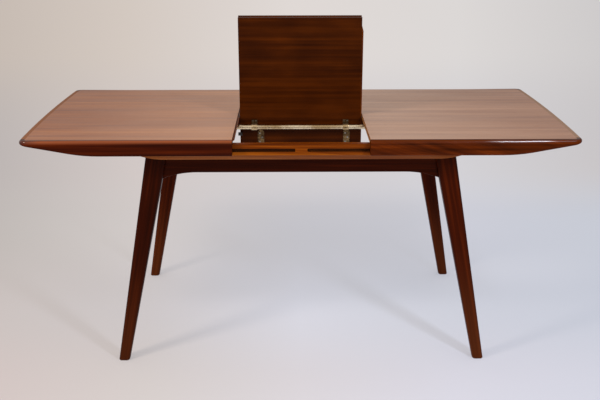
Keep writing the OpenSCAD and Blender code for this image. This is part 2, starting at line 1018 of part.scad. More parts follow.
module leaf_peg() {
    color(peg_color)
        raised() {
            translate([-gap_w / 2 + 1 + peg_len / 2, peg_y, peg_z])
                rod_x(peg_r, peg_len);
            translate([-leaf_w / 2 + 1, peg_y - peg_r * 0.8, peg_z])
                cube([peg_len - 8, peg_r * 1.6, underside - peg_z]);
        }
}

module leaf_rod() {
    color(metal_color)
        translate([0, rod_y, rod_z])
            rod_x(rod_r, rod_len);
}

color(frame_color) quarter(-1, -1) leg();  // left_front_leg
color(frame_color) quarter(1, -1) leg();  // right_front_leg
color(frame_color) quarter(-1, 1) leg();  // left_back_leg
color(frame_color) quarter(1, 1) leg();  // right_back_leg
long_apron(-1);  // front_apron
long_apron(1);  // back_apron
short_apron(-1);  // left_apron
short_apron(1);  // right_apron
color(rail_color) guide_rail();  // front_guide_rail
color(rail_color) rotate([0, 0, 180]) guide_rail();  // back_guide_rail
color(frame_color) quarter(-1, 1) cross_rail(cross_x);  // left_cross_rail
color(frame_color) cross_rail(cross_x);  // right_cross_rail
color(frame_color) quarter(-1, 1) cross_rail(end_rail_x);  // left_end_rail
color(frame_color) cross_rail(end_rail_x);  // right_end_rail
corner_blocks();
corner_bolts();
rail_screws();
stow_rests();
color(metal_color) rod_socket(-1);  // left_rod_socket
color(metal_color) rod_socket(1);  // right_rod_socket
socket_screws();
left_top_panel();
band(-1, -1);  // left_front_band
band(-1, 1);  // left_back_band
end_band_of(-1);  // left_end_band
left_tongue();
runners(-1);  // left_runners
runner_screws(-1);  // left_runner_screws
right_top_panel();
band(1, -1);  // right_front_band
band(1, 1);  // right_back_band
end_band_of(1);  // right_end_band
runners(1);  // right_runners
runner_screws(1);  // right_runner_screws
leaf_rod();
front_leaf_panel();
front_leaf_tongue();
bracket(-1);  // left_rod_bracket
bracket(1);  // right_rod_bracket
bracket_screws();
leaf_peg();
front_hinge_straps();
back_leaf_panel();
back_leaf_tongue();
back_hinge_straps();
hinge_pins();
hinge_screws();
back_hinge_screws();
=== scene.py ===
import logging
import math
from dataclasses import dataclass, field, replace
from enum import Enum

import bpy
from mathutils import Matrix, Quaternion, Vector


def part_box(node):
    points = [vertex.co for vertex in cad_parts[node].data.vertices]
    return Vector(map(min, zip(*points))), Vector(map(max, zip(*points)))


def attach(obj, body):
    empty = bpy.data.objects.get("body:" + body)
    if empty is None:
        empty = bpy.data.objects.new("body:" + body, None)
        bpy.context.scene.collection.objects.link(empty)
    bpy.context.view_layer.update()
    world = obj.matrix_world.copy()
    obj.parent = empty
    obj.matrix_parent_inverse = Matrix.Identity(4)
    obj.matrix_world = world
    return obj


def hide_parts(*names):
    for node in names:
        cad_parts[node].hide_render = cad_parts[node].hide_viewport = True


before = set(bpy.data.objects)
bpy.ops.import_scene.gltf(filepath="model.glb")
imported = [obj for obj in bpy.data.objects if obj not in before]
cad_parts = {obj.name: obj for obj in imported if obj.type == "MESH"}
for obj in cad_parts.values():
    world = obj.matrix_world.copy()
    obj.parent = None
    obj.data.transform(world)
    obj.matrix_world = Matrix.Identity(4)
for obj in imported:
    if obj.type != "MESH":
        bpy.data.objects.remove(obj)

log = logging.getLogger("table")
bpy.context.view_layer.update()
Colour = tuple[int, int, int]
Triple = tuple[float, float, float]
X_WAY: Triple = (1.0, 0.0, 0.0)
Y_WAY: Triple = (0.0, 1.0, 0.0)
Z_WAY: Triple = (0.0, 0.0, 1.0)


class Slot(Enum):
    """The record's material slots."""

    TOP = "top_veneer"
    BAND = "band_wood"
    RAIL = "rail_wood"
    FRAME = "frame_wood"
    LEAF = "leaf_veneer"
    ROD = "rod_metal"
    BRASS = "brass"
    STEEL = "steel"
    PEG = "peg"


# ---------- Shader arithmetic ----------


def linear(colour: Colour) -> tuple[float, float, float, float]:
    """Turns a colour of 0 to 255 a channel into the linear values that a shader takes.

    Args:
        colour: Red, green and blue as on a screen.

    Returns:
        Linear red, green, blue and an alpha of one.
    """
    parts = [c / 255 for c in colour]
    red, green, blue = [c / 12.92 if c <= 0.04045 else ((c + 0.055) / 1.055) ** 2.4 for c in parts]
    return red, green, blue, 1.0


Owner = bpy.types.Material | bpy.types.World


class Wire:
    """An output socket that takes part in sums, so that shader maths reads as maths."""

    def __init__(self, bench: "Bench", socket: bpy.types.NodeSocket) -> None:
        """Keeps the bench that owns the socket, and the socket."""
        self.bench = bench
        self.socket = socket

    def _math(self, operation: str, *values: "Wire | float") -> "Wire":
        """Adds one Math node of that operation on the values."""
        return self.bench.node("ShaderNodeMath", {"operation": operation}, dict(enumerate(values)))

    def __add__(self, other: "Wire | float") -> "Wire":
        """Sum."""
        return self._math("ADD", self, other)

    def __radd__(self, other: float) -> "Wire":
        """Sum with the number first."""
        return self._math("ADD", other, self)

    def __sub__(self, other: "Wire | float") -> "Wire":
        """Difference."""
        return self._math("SUBTRACT", self, other)

    def __rsub__(self, other: float) -> "Wire":
        """Difference with the number first."""
        return self._math("SUBTRACT", other, self)

    def __mul__(self, other: "Wire | float") -> "Wire":
        """Product."""
        return self._math("MULTIPLY", self, other)

    def __rmul__(self, other: float) -> "Wire":
        """Product with the number first."""
        return self._math("MULTIPLY", other, self)

    def __truediv__(self, other: "Wire | float") -> "Wire":
        """Quotient."""
        return self._math("DIVIDE", self, other)

    def root(self) -> "Wire":
        """Square root."""
        return self._math("SQRT", self)

    def clamped(self) -> "Wire":
        """The value held between nought and one."""
        return self.bench.node("ShaderNodeClamp", {}, {"Value": self})

    def step(self, low: float, high: float) -> "Wire":
        """A soft step, nought below low and one above high.

        Args:
            low: The value where the step begins.
            high: The value where it ends.

        Returns:
            The step.
        """
        settings = {"interpolation_type": "SMOOTHSTEP"}
        inputs = {"Value": self, "From Min": low, "From Max": high}
        return self.bench.node("ShaderNodeMapRange", settings, inputs)


class Bench:
    """The node tree of one material or world, with the few nodes that the finishes share."""

    def __init__(self, owner: Owner, end: str = "ShaderNodeOutputMaterial") -> None:
        """Clears the owner's tree and gives it its output node.

        Args:
            owner: The new material or world that the nodes belong to.
            end: The type of its output node.
        """
        owner.use_nodes = True
        self.owner = owner
        self.tree = owner.node_tree
        self.tree.nodes.clear()
        self.output = self.tree.nodes.new(end)

    def node(self, kind: str, settings: dict, inputs: dict, output: "int | str" = 0) -> Wire:
        """Adds a node.

        Args:
            kind: The node's type.
            settings: Its settings, set first. "stops" holds a ramp's places and colours.
            inputs: Values or wires, by the name or number of the input.
            output: The name or number of the output that is handed back.

        Returns:
            That output as a wire.
        """
        made = self.tree.nodes.new(kind)
        for key, value in settings.items():
            if key == "stops":
                ramp = made.color_ramp
                while len(ramp.elements) < len(value):
                    ramp.elements.new(0.5)
                for element, (place, colour) in zip(ramp.elements, value):
                    element.position = place
                    element.color = colour
            else:
                setattr(made, key, value)
        for key, value in inputs.items():
            if isinstance(value, Wire):
                self.tree.links.new(value.socket, made.inputs[key])
            else:
                made.inputs[key].default_value = value
        return Wire(self, made.outputs[output])

    def place(self) -> Wire:
        """The place on the piece, which stands in the room's frame."""
        return self.node("ShaderNodeTexCoord", {}, {}, "Object")

    def parts(self, vector: Wire) -> list[Wire]:
        """The X, Y and Z of a vector."""
        split = self.node("ShaderNodeSeparateXYZ", {}, {"Vector": vector}).socket.node
        return [Wire(self, output) for output in split.outputs]

    def stretched(self, vector: Wire, scale: Triple) -> Wire:
        """The vector with each part multiplied by its own scale."""
        return self.node("ShaderNodeVectorMath", {"operation": "MULTIPLY"}, {0: vector, 1: scale})

    def noise(self, vector: Wire, scale: Triple, detail: float = 2.0, output: str = "Fac") -> Wire:
        """Noise of so many cells a metre each way."""
        inputs = {"Vector": self.stretched(vector, scale), "Scale": 1.0, "Detail": detail}
        return self.node("ShaderNodeTexNoise", {}, inputs, output)

    def blend(self, share: "Wire | float", first: "Wire | tuple", second: "Wire | tuple") -> Wire:
        """A colour between the first and the second."""
        settings = {"data_type": "RGBA", "clamp_factor": True}
        return self.node("ShaderNodeMix", settings, {0: share, 6: first, 7: second}, 2)

    def bump(self, height: Wire, distance: float, strength: float) -> Wire:
        """A normal from a height, with the distance in metres."""
        inputs = {"Height": height, "Distance": distance, "Strength": strength}
        return self.node("ShaderNodeBump", {}, inputs)

    def surface(self, shader: Wire) -> Owner:
        """Joins the shader to the output and hands back the material or world."""
        self.tree.links.new(shader.socket, self.output.inputs["Surface"])
        return self.owner


# ---------- Finishes ----------

# Cells a metre along, across and through the grain of every wood.
STREAKS_ALONG = 1.8
FIBRES: Triple = (9.0, 620.0, 620.0)
BROAD_ACROSS = 11.0
PORES: Triple = (30.0, 1150.0, 1150.0)
SMUDGES: Triple = (4.0, 8.0, 8.0)
# Where noise turns into an open pore, and how far the rings sway and lie from their pith, in metres.
PORE_EDGE = (0.62, 0.74)
SWAY = 0.03
PITH_ASIDE, PITH_BELOW = 0.09, 0.16


@dataclass(frozen=True)
class Wood:
    """Oiled or lacquered hardwood with growth rings, streaks, fibres and open pores."""

    name: str
    slot: Slot
    dark: Colour
    middle: Colour
    light: Colour
    ring_gap: float
    roughness: float
    specular: float
    ring_share: float = 0.30
    streak_share: float = 0.40
    broad_share: float = 0.30
    streaks_across: float = 95.0
    mottle: float = 0.9
    contrast: float = 1.3
    tilt: float = 0.02
    coat: float = 0.0
    coat_roughness: float = 0.2
    pore_share: float = 0.4
    relief: float = 0.0001
    arris: "Arris | None" = None
    foot: "Foot | None" = None
    painted_sheen_fade: "PaintedSheenFade | None" = None

    def material(self) -> bpy.types.Material:
        """Builds the node tree on the piece's own grain coordinates.

        Returns:
            The wood's material.
        """
        bench = Bench(bpy.data.materials.new(self.name))
        grain = bench.node("ShaderNodeAttribute", {"attribute_name": "grain"}, {}, "Vector")
        streaks = bench.noise(grain, (STREAKS_ALONG, self.streaks_across, self.streaks_across), 3.0)
        fibres = bench.noise(grain, FIBRES)
        broad = bench.noise(grain, (self.mottle, BROAD_ACROSS, BROAD_ACROSS))
        pores = bench.noise(grain, PORES, 1.0).step(*PORE_EDGE)
        tone = self.rings(bench, grain) * self.ring_share
        tone = tone + streaks * self.streak_share + broad * self.broad_share
        tone = (tone - 0.5) * self.contrast * 2.0 + 0.5 + (fibres - 0.5) * 0.3
        colours = bench.node(
            "ShaderNodeValToRGB",
            {"stops": [(0.1, linear(self.dark)), (0.5, linear(self.middle)), (0.9, linear(self.light))]},
            {"Fac": tone.clamped()},
            "Color",
        )
        colour = bench.blend(pores * self.pore_share, colours, linear(self.dark))
        coat: "Wire | float" = self.coat
        # The arris paints a highlight into the colour and adds its polish to the coat.
        if self.arris:
            colour, coat = self.arris.rubbed(bench, colour, streaks, self.coat)
        if self.foot:
            colour = self.foot.paler_low_end(bench, colour, streaks)
        # Painted sheen at the top's inner end, and a deeper tone at its outer end.
        if self.painted_sheen_fade:
            colour = self.painted_sheen_fade.with_painted_sheen(bench, colour)
        smudge = bench.noise(grain, SMUDGES, 3.0)
        roughness = self.roughness + (streaks - 0.5) * 0.12 + pores * 0.15 + (smudge - 0.5) * 0.16
        shader = bench.node(
            "ShaderNodeBsdfPrincipled",
            {},
            {
                "Base Color": colour,
                "Roughness": roughness.clamped(),
                "Specular IOR Level": self.specular,
                "Normal": bench.bump(fibres * 0.35 - pores, self.relief, 0.6),
                "Coat Weight": coat,
                "Coat Roughness": self.coat_roughness,
            },
        )
        return bench.surface(shader)

    def rings(self, bench: Bench, grain: Wire) -> Wire:
        """Uneven growth rings round a pith that lies outside the board and slopes a little.

        Args:
            bench: The material's bench.
            grain: The piece's grain coordinates.

        Returns:
            The rings' tone, from nought to one.
        """
        drift = bench.noise(grain, (1.3, 6.0, 6.0), 2.0, "Color")
        settings = {"operation": "MULTIPLY_ADD"}
        sway = bench.node("ShaderNodeVectorMath", settings, {0: drift, 1: (SWAY,) * 3, 2: grain})
        along, across, through = bench.parts(sway)
        side = across + PITH_ASIDE + along * self.tilt
        depth = through + PITH_BELOW + along * (self.tilt * 0.6)
        radius = (side * side + depth * depth).root()
        place = bench.node("ShaderNodeCombineXYZ", {}, {"X": radius, "Y": along})
        return bench.noise(place, (1.0 / self.ring_gap, 0.8, 1.0))


@dataclass(frozen=True)
class Arris:
    """The upper arris of an edge band, under a dark line beside the panel, with a painted highlight in its colour
    and a polished coat.

    The heights low, high and line are above the floor. The polish and the tip are places out from the table's
    middle, in metres; a polish that ends before nought is there all along the band.
    """

    low: float
    high: float
    line: float
    # tint is the colour of the painted highlight on the rounding.
    tint: Colour
    seam: Colour
    line_width: float = 0.0002
    share: float = 0.9
    coat: float = 1.0
    polish_from: float = -1.0
    polish_to: float = -0.5
    tip_from: float = 0.80
    tip_to: float = 0.875
    tip_gloss: float = 1.0

    def rubbed(self, bench: Bench, colour: Wire, streaks: Wire, coat: float) -> tuple[Wire, Wire]:
        """Lays the arris's painted highlight, its polish and the dark line over a colour and a coat.

        Args:
            bench: The material's bench.
            colour: The wood's colour away from the arris.
            streaks: The wood's streaks, which break the arris up a little.
            coat: The wood's coat away from the arris.

        Returns:
            The colour and the coat with the arris on them.
        """
        side, _, height = bench.parts(bench.place())
        outwards = (side * side).root()
        # The painted highlight fades out towards the tips, and the coat dulls there.
        away = 1.0 - outwards.step(self.tip_from, self.tip_to)
        dulled = away * (1.0 - self.tip_gloss) + self.tip_gloss
        polish = outwards.step(self.polish_from, self.polish_to) * dulled
        # Painted highlight: the tint grows towards the top of the rounding, broken by the streaks; the same mask
        # carries the polished coat.
        painted_highlight_and_polish = (height.step(self.low, self.high) * (0.5 + streaks) * self.share).clamped()
        seam = height.step(self.line, self.line + self.line_width)
        tinted = bench.blend(painted_highlight_and_polish * away, colour, linear(self.tint))
        coated = painted_highlight_and_polish * polish * self.coat * (1.0 - seam) + coat
        return bench.blend(seam, tinted, linear(self.seam)), coated.clamped()


@dataclass(frozen=True)
class Foot:
    """The paler lower end of a leg, which fades out upwards."""

    bottom: float
    top: float
    tint: Colour
    share: float

    def paler_low_end(self, bench: Bench, colour: Wire, streaks: Wire) -> Wire:
        """Lays the paler foot over a colour.

        Args:
            bench: The wood's bench.
            colour: The wood's colour.
            streaks: The wood's streaks, which break the foot up.

        Returns:
            The colour with the foot on it.
        """
        height = bench.parts(bench.place())[2]
        low = 1.0 - height.step(self.bottom, self.top)
        return bench.blend((low * (0.4 + streaks) * self.share).clamped(), colour, linear(self.tint))


@dataclass(frozen=True)
class PaintedSheenFade:
    """Painted sheen along a top: the paler, greyer inner end stands in for sheen, and the tone turns deeper
    towards the outer end.
    """

    # pale is the painted sheen's colour at the inner end.
    pale: Colour
    deep: Colour
    inner: float = 0.10
    outer: float = 0.92
    share: float = 0.35

    def with_painted_sheen(self, bench: Bench, colour: Wire) -> Wire:
        """Lays the painted sheen and the change of tone over a colour.

        Args:
            bench: The wood's bench.
            colour: The wood's colour.

        Returns:
            The colour with the painted sheen and the change on it.
        """
        side = bench.parts(bench.place())[0]
        outwards = (side * side).root().step(self.inner, self.outer)
        tint = bench.blend(outwards, linear(self.pale), linear(self.deep))
        return bench.blend(self.share, colour, tint)


@dataclass(frozen=True)
class Metal:
    """Metal with drawn lines along X, stains and small pits."""

    name: str
    slot: Slot
    bright: Colour
    dull: Colour
    stain: Colour
    roughness: float
    stain_share: float
    cloud_scale: float = 45.0
    spot_scale: float = 260.0
    line_scale: Triple = (20.0, 1800.0, 1800.0)
    relief: float = 0.00005

    def material(self) -> bpy.types.Material:
        """Builds the node tree on Object coordinates.

        Returns:
            The metal's material.
        """
        bench = Bench(bpy.data.materials.new(self.name))
        place = bench.place()
        clouds = bench.noise(place, (self.cloud_scale,) * 3, 4.0)
        spots = bench.noise(place, (self.spot_scale,) * 3, 3.0)
        lines = bench.noise(place, self.line_scale)
        colour = bench.blend(clouds.step(0.35, 0.68), linear(self.bright), linear(self.dull))
        stained = (spots.step(0.48, 0.66) * self.stain_share).clamped()
        colour = bench.blend(stained, colour, linear(self.stain))
        roughness = self.roughness + stained * 0.25 + (lines - 0.5) * 0.2
        shader = bench.node(
            "ShaderNodeBsdfPrincipled",
            {},
            {
                "Base Color": colour,
                "Metallic": 1.0,
                "Roughness": roughness.clamped(),
                "Normal": bench.bump(lines * 0.5 - stained * 0.5, self.relief, 0.5),
            },
        )
        return bench.surface(shader)


@dataclass(frozen=True)
class Rubber:
    """Dark, slightly dusty rubber."""

    name: str
    slot: Slot
    dark: Colour = (14, 11, 9)
    dust: Colour = (46, 39, 34)
    dust_scale: float = 180.0
    pit_scale: float = 900.0
    relief: float = 0.0001

    def material(self) -> bpy.types.Material:
        """Builds the node tree on Object coordinates.

        Returns:
            The rubber's material.
        """
        bench = Bench(bpy.data.materials.new(self.name))
        place = bench.place()
        dust = bench.noise(place, (self.dust_scale,) * 3, 4.0)
        pits = bench.noise(place, (self.pit_scale,) * 3)
        shader = bench.node(
            "ShaderNodeBsdfPrincipled",
            {},
            {
                "Base Color": bench.blend(dust.step(0.4, 0.75), linear(self.dark), linear(self.dust)),
                "Roughness": 0.5 + (pits - 0.5) * 0.4,
                "Normal": bench.bump(pits, self.relief, 0.4),
            },
        )
        return bench.surface(shader)


Finish = Wood | Metal | Rubber

TOP_VENEER = Wood(
    "satin top veneer", Slot.TOP, (108, 59, 25), (138, 82, 38), (162, 103, 54),
    ring_gap=0.04, ring_share=0.20, streak_share=0.55, broad_share=0.25, streaks_across=48.0, contrast=1.4,
    roughness=0.46, specular=0.45, coat=0.05, coat_roughness=0.4, painted_sheen_fade=PaintedSheenFade((187, 150, 128), (100, 40, 0)),
)
# The right half's paler, greyer veneer is partly its own wood and partly painted sheen and cooler light.
PALE_VENEER = replace(
    TOP_VENEER, name="paler top veneer", dark=(114, 74, 50), middle=(146, 104, 75), light=(170, 127, 98),
    painted_sheen_fade=PaintedSheenFade((187, 158, 140), (110, 64, 48)),
)
# The arris tints below are painted highlights on the bands' rounded upper edges; the end bands' are toned towards
# the top veneer.
BAND_ARRIS = Arris(0.7420, 0.7530, 0.7544, (122, 54, 4), (56, 20, 2))
BAND_WOOD = Wood(
    "polished edge band", Slot.BAND, (26, 3, 0), (50, 10, 0), (78, 24, 0),
    ring_gap=0.02, roughness=0.3, specular=0.05, coat_roughness=0.12, arris=BAND_ARRIS,
)
REDDER_BAND = replace(
    BAND_WOOD, name="redder edge band", dark=(44, 12, 0), middle=(74, 25, 0), light=(112, 46, 4),
    ring_gap=0.012, contrast=1.5, tilt=0.22, coat_roughness=0.14,
    arris=replace(
        BAND_ARRIS, tint=(78, 30, 2), low=0.7425, line=0.7540, coat=2.0,
        polish_from=0.56, polish_to=0.64, tip_from=0.73, tip_to=0.80, tip_gloss=0.05,
    ),
)
END_BAND = replace(
    BAND_WOOD, name="end band", dark=(70, 30, 4), middle=(104, 50, 12), light=(130, 72, 24), roughness=0.45,
    specular=0.03, arris=replace(BAND_ARRIS, tint=(126, 82, 50), seam=(118, 74, 46), coat=0.0),
)
PALER_END_BAND = replace(
    END_BAND, name="paler end band", arris=replace(END_BAND.arris, tint=(136, 108, 86), seam=(132, 104, 84)),
)
RAIL_WOOD = Wood(
    "waxed guide rail", Slot.RAIL, (70, 24, 0), (106, 46, 0), (140, 72, 6),
    ring_gap=0.009, contrast=1.7, tilt=0.05, roughness=0.42, specular=0.06,
)
GOLDEN_EDGE = replace(
    RAIL_WOOD, name="golden inner edge", dark=(120, 66, 10), middle=(150, 90, 22), light=(174, 112, 40),
)
# Painted shade in the slots' recesses, darker than the rail wood.
SLOT_PAINTED_SHADE = replace(
    RAIL_WOOD, name="painted shade in the slots", dark=(36, 13, 2), middle=(60, 26, 6), light=(84, 40, 12),
)
# Painted light on the rail's canted foot, standing in for light from the floor and its sheen.
RAIL_FOOT_PAINTED_LIGHT = replace(
    RAIL_WOOD, name="rail foot with painted light", dark=(98, 46, 14), middle=(124, 66, 28), light=(148, 88, 44),
    contrast=1.1, ring_gap=0.014,
)
FRAME_WOOD = Wood(
    "dark frame wood", Slot.FRAME, (24, 4, 0), (45, 9, 0), (68, 20, 1),
    ring_gap=0.016, roughness=0.34, specular=0.04, foot=Foot(0.0, 0.38, (84, 42, 18), 0.35),
)
# Painted light: a lighter copy of the frame wood for the three legs other than the front left one.
FRAME_WOOD_PAINTED_LIGHT = replace(
    FRAME_WOOD, name="frame wood with painted light", dark=(34, 6, 0), middle=(56, 13, 0), light=(84, 28, 2),
    foot=Foot(0.0, 0.42, (90, 44, 18), 0.6),
)
LEAF_VENEER = Wood(
    "dark leaf veneer", Slot.LEAF, (36, 9, 0), (56, 20, 0), (76, 31, 1),
    ring_gap=0.018, ring_share=0.25, streak_share=0.35, broad_share=0.40, mottle=6.0, contrast=1.2,
    roughness=0.36, specular=0.04,
)
UNFADED_VENEER = replace(
    TOP_VENEER, name="unfaded top veneer", dark=(92, 50, 22), middle=(120, 70, 34), light=(144, 90, 48),
    contrast=1.0, painted_sheen_fade=None,
)
ROD_METAL = Metal("drawn rod", Slot.ROD, (240, 222, 188), (186, 158, 116), (120, 92, 54), 0.24, 0.45, 16.0)
BRASS = Metal("old brass", Slot.BRASS, (140, 114, 78), (86, 66, 44), (36, 26, 16), 0.4, 0.9)
RUBBED_BRASS = Metal("rubbed brass", Slot.BRASS, (222, 198, 156), (168, 140, 98), (104, 80, 48), 0.3, 0.6)
STEEL = Metal("screw steel", Slot.STEEL, (168, 164, 156), (128, 122, 112), (82, 72, 60), 0.32, 0.4)
PEG_RUBBER = Rubber("rubber peg", Slot.PEG)


class Finishes:
    """Makes each finish's material once."""

    def __init__(self) -> None:
        """Starts with no material made."""
        self.made: dict[str, bpy.types.Material] = {}

    def of(self, finish: Finish) -> bpy.types.Material:
        """The finish's material, made on its first use.

        Args:
            finish: The finish wanted.

        Returns:
            Its material.
        """
        if finish.name not in self.made:
            self.made[finish.name] = finish.material()
        return self.made[finish.name]


FINISHES = Finishes()


# ---------- Work on meshes ----------

# Vertices nearer than this, in metres, are one; faces that meet at less than the flat angle are one, at less than
# the smooth angle look smooth, and at more than the sharp angle have their edge eased.
MERGE_GAP = 0.00001
FLAT_ANGLE = math.radians(0.05)
SMOOTH_ANGLE = math.radians(32.0)
SHARP_ANGLE = math.radians(40.0)
FACE_WEIGHT = 100
FACING_SHARE = 0.98


def only(piece: bpy.types.Object) -> None:
    """Deselects everything, then selects one piece and makes it active.

    Args:
        piece: The piece to work on.
    """
    bpy.ops.object.select_all(action="DESELECT")
    piece.select_set(True)
    bpy.context.view_layer.objects.active = piece


def copied(node: str, piece_name: str, cuts: tuple[float, ...] = ()) -> bpy.types.Object:
    """A merged copy of a CAD node's mesh, ready to be worked on.

    Args:
        node: The CAD node's name.
        piece_name: The new piece's name.
        cuts: Places along X where flat faces are parted, so that none goes round a hole.

    Returns:
        The new object, at the origin, with its flat faces whole again.
    """
    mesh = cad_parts[node].data.copy()
    mesh.name = piece_name
    mesh.materials.clear()
    piece = bpy.data.objects.new(piece_name, mesh)
    bpy.context.scene.collection.objects.link(piece)
    only(piece)
    bpy.ops.object.mode_set(mode="EDIT")
    bpy.ops.mesh.customdata_custom_splitnormals_clear()
    bpy.ops.mesh.select_all(action="SELECT")
    bpy.ops.mesh.remove_doubles(threshold=MERGE_GAP)
    for cut in cuts:
        bpy.ops.mesh.select_all(action="SELECT")
        bpy.ops.mesh.bisect(plane_co=(cut, 0, 0), plane_no=X_WAY)
        bpy.ops.mesh.mark_seam()
    bpy.ops.mesh.select_all(action="SELECT")
    bpy.ops.mesh.dissolve_limited(angle_limit=FLAT_ANGLE, delimit={"SEAM"})
    bpy.ops.object.mode_set(mode="OBJECT")
    return piece


def softened(piece: bpy.types.Object, width: float) -> None:
    """Eases the sharp edges of a piece and smooths its curved faces.

    Args:
        piece: The piece to work on.
        width: The width of the eased edge, in metres, or nought to leave the edges.
    """
    only(piece)
    if width:
        bevel = piece.modifiers.new("eased edges", "BEVEL")
        bevel.width = width
        bevel.segments = 2
        bevel.limit_method = "ANGLE"
        bevel.angle_limit = SHARP_ANGLE
        bevel.use_clamp_overlap = True
        bevel.miter_outer = "MITER_ARC"
        bpy.ops.object.modifier_apply(modifier=bevel.name)
    bpy.ops.object.shade_smooth_by_angle(angle=SMOOTH_ANGLE)
    weighted = piece.modifiers.new("even faces", "WEIGHTED_NORMAL")
    weighted.keep_sharp = True
    weighted.weight = FACE_WEIGHT
    bpy.ops.object.modifier_apply(modifier=weighted.name)


def second_finish(piece: bpy.types.Object, finish: Finish) -> int:
    """Adds a finish beside those that a piece has.

    Args:
        piece: The piece, already dressed.
        finish: The finish to add.

    Returns:
        The number by which the piece's faces know it.
    """
    piece.data.materials.append(FINISHES.of(finish))
    return len(piece.data.materials) - 1


def relined(piece: bpy.types.Object, finish: Finish, low: Triple, high: Triple) -> None:
    """Gives another finish to the faces whose middles lie inside a box.

    Args:
        piece: The piece, already dressed.
        finish: The finish for those faces.
        low: The box's lowest corner.
        high: Its highest corner.
    """
    number = second_finish(piece, finish)
    for face in piece.data.polygons:
        if all(a <= c <= b for a, c, b in zip(low, face.center, high)):
            face.material_index = number


def faced(piece: bpy.types.Object, finish: Finish, way: Triple) -> None:
    """Gives another finish to the flat side of a piece that looks one way.

    Args:
        piece: The piece, already dressed.
        finish: The finish for that side.
        way: The way that the side looks.
    """
    number = second_finish(piece, finish)
    for face in piece.data.polygons:
        if face.normal.dot(Vector(way).normalized()) > FACING_SHARE:
            face.material_index = number


def with_grain(piece: bpy.types.Object, along: Triple, across: Triple, start: Triple) -> None:
    """Writes the piece's grain coordinates, with X along the grain.

    Args:
        piece: The piece to mark.
        along: The way the grain runs.
        across: Roughly the way the board's width lies.
        start: Where the board was cut from in the log, so that no two boards match.
    """
    length = Vector(along).normalized()
    thickness = length.cross(Vector(across)).normalized()
    width = thickness.cross(length)
    layer = piece.data.attributes.new("grain", "FLOAT_VECTOR", "POINT")
    for vertex, value in zip(piece.data.vertices, layer.data):
        place = vertex.co
        value.vector = Vector((place.dot(length), place.dot(width), place.dot(thickness))) + Vector(start)


def finished(piece: bpy.types.Object, body: str, finish: Finish, *nodes: str) -> None:
    """Dresses a piece, sets it on its body and lets it stand for its CAD nodes.

    Args:
        piece: The finished mesh.
        body: The CAD body it moves with.
        finish: Its finish.
        nodes: The CAD nodes it replaces.
    """
    piece.data.materials.clear()
    piece.data.materials.append(FINISHES.of(finish))
    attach(piece, body)
    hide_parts(*nodes)
    log.info("%s on %s, %d faces", piece.name, body, len(piece.data.polygons))


@dataclass(frozen=True)
class Board:
    """One board of solid wood or veneer, shaped from its CAD node."""

    node: str
    finish: Wood
    along: Triple
    across: Triple
    start: Triple
    eased: float
    cuts: tuple[float, ...] = ()

    def build(self, body: str) -> bpy.types.Object:
        """Shapes, marks and dresses the board.

        Args:
            body: The CAD body it moves with.

        Returns:
            The board.
        """
        piece = copied(self.node, f"{self.node}_board", self.cuts)
        softened(piece, self.eased)
        with_grain(piece, self.along, self.across, self.start)
        finished(piece, body, self.finish, self.node)
        return piece


@dataclass(frozen=True)
class Fitting:
    """One metal or rubber fitting, shaped from its CAD node."""

    node: str
    finish: Metal | Rubber
    eased: float = 0.0003

    def build(self, body: str) -> bpy.types.Object:
        """Shapes and dresses the fitting.

        Args:
            body: The CAD body it moves with.

        Returns:
            The fitting.
        """
        piece = copied(self.node, f"{self.node}_fitting")
        softened(piece, self.eased)
        finished(piece, body, self.finish, self.node)
        return piece


class Facing(Enum):
    """Which way the heads of a set of screws look along their axis."""

    SAME = "all along the axis"
    OUTWARDS = "away from the middle of the table"
    INWARDS = "towards the middle of the table"

    def sign(self, place: float) -> float:
        """The way of one head.

        Args:
            place: Where the screw is, along the axis.

        Returns:
            One if the head looks along the axis, or minus one.
        """
        if self is Facing.SAME:
            return 1.0
        return math.copysign(1.0, place) * (1.0 if self is Facing.OUTWARDS else -1.0)


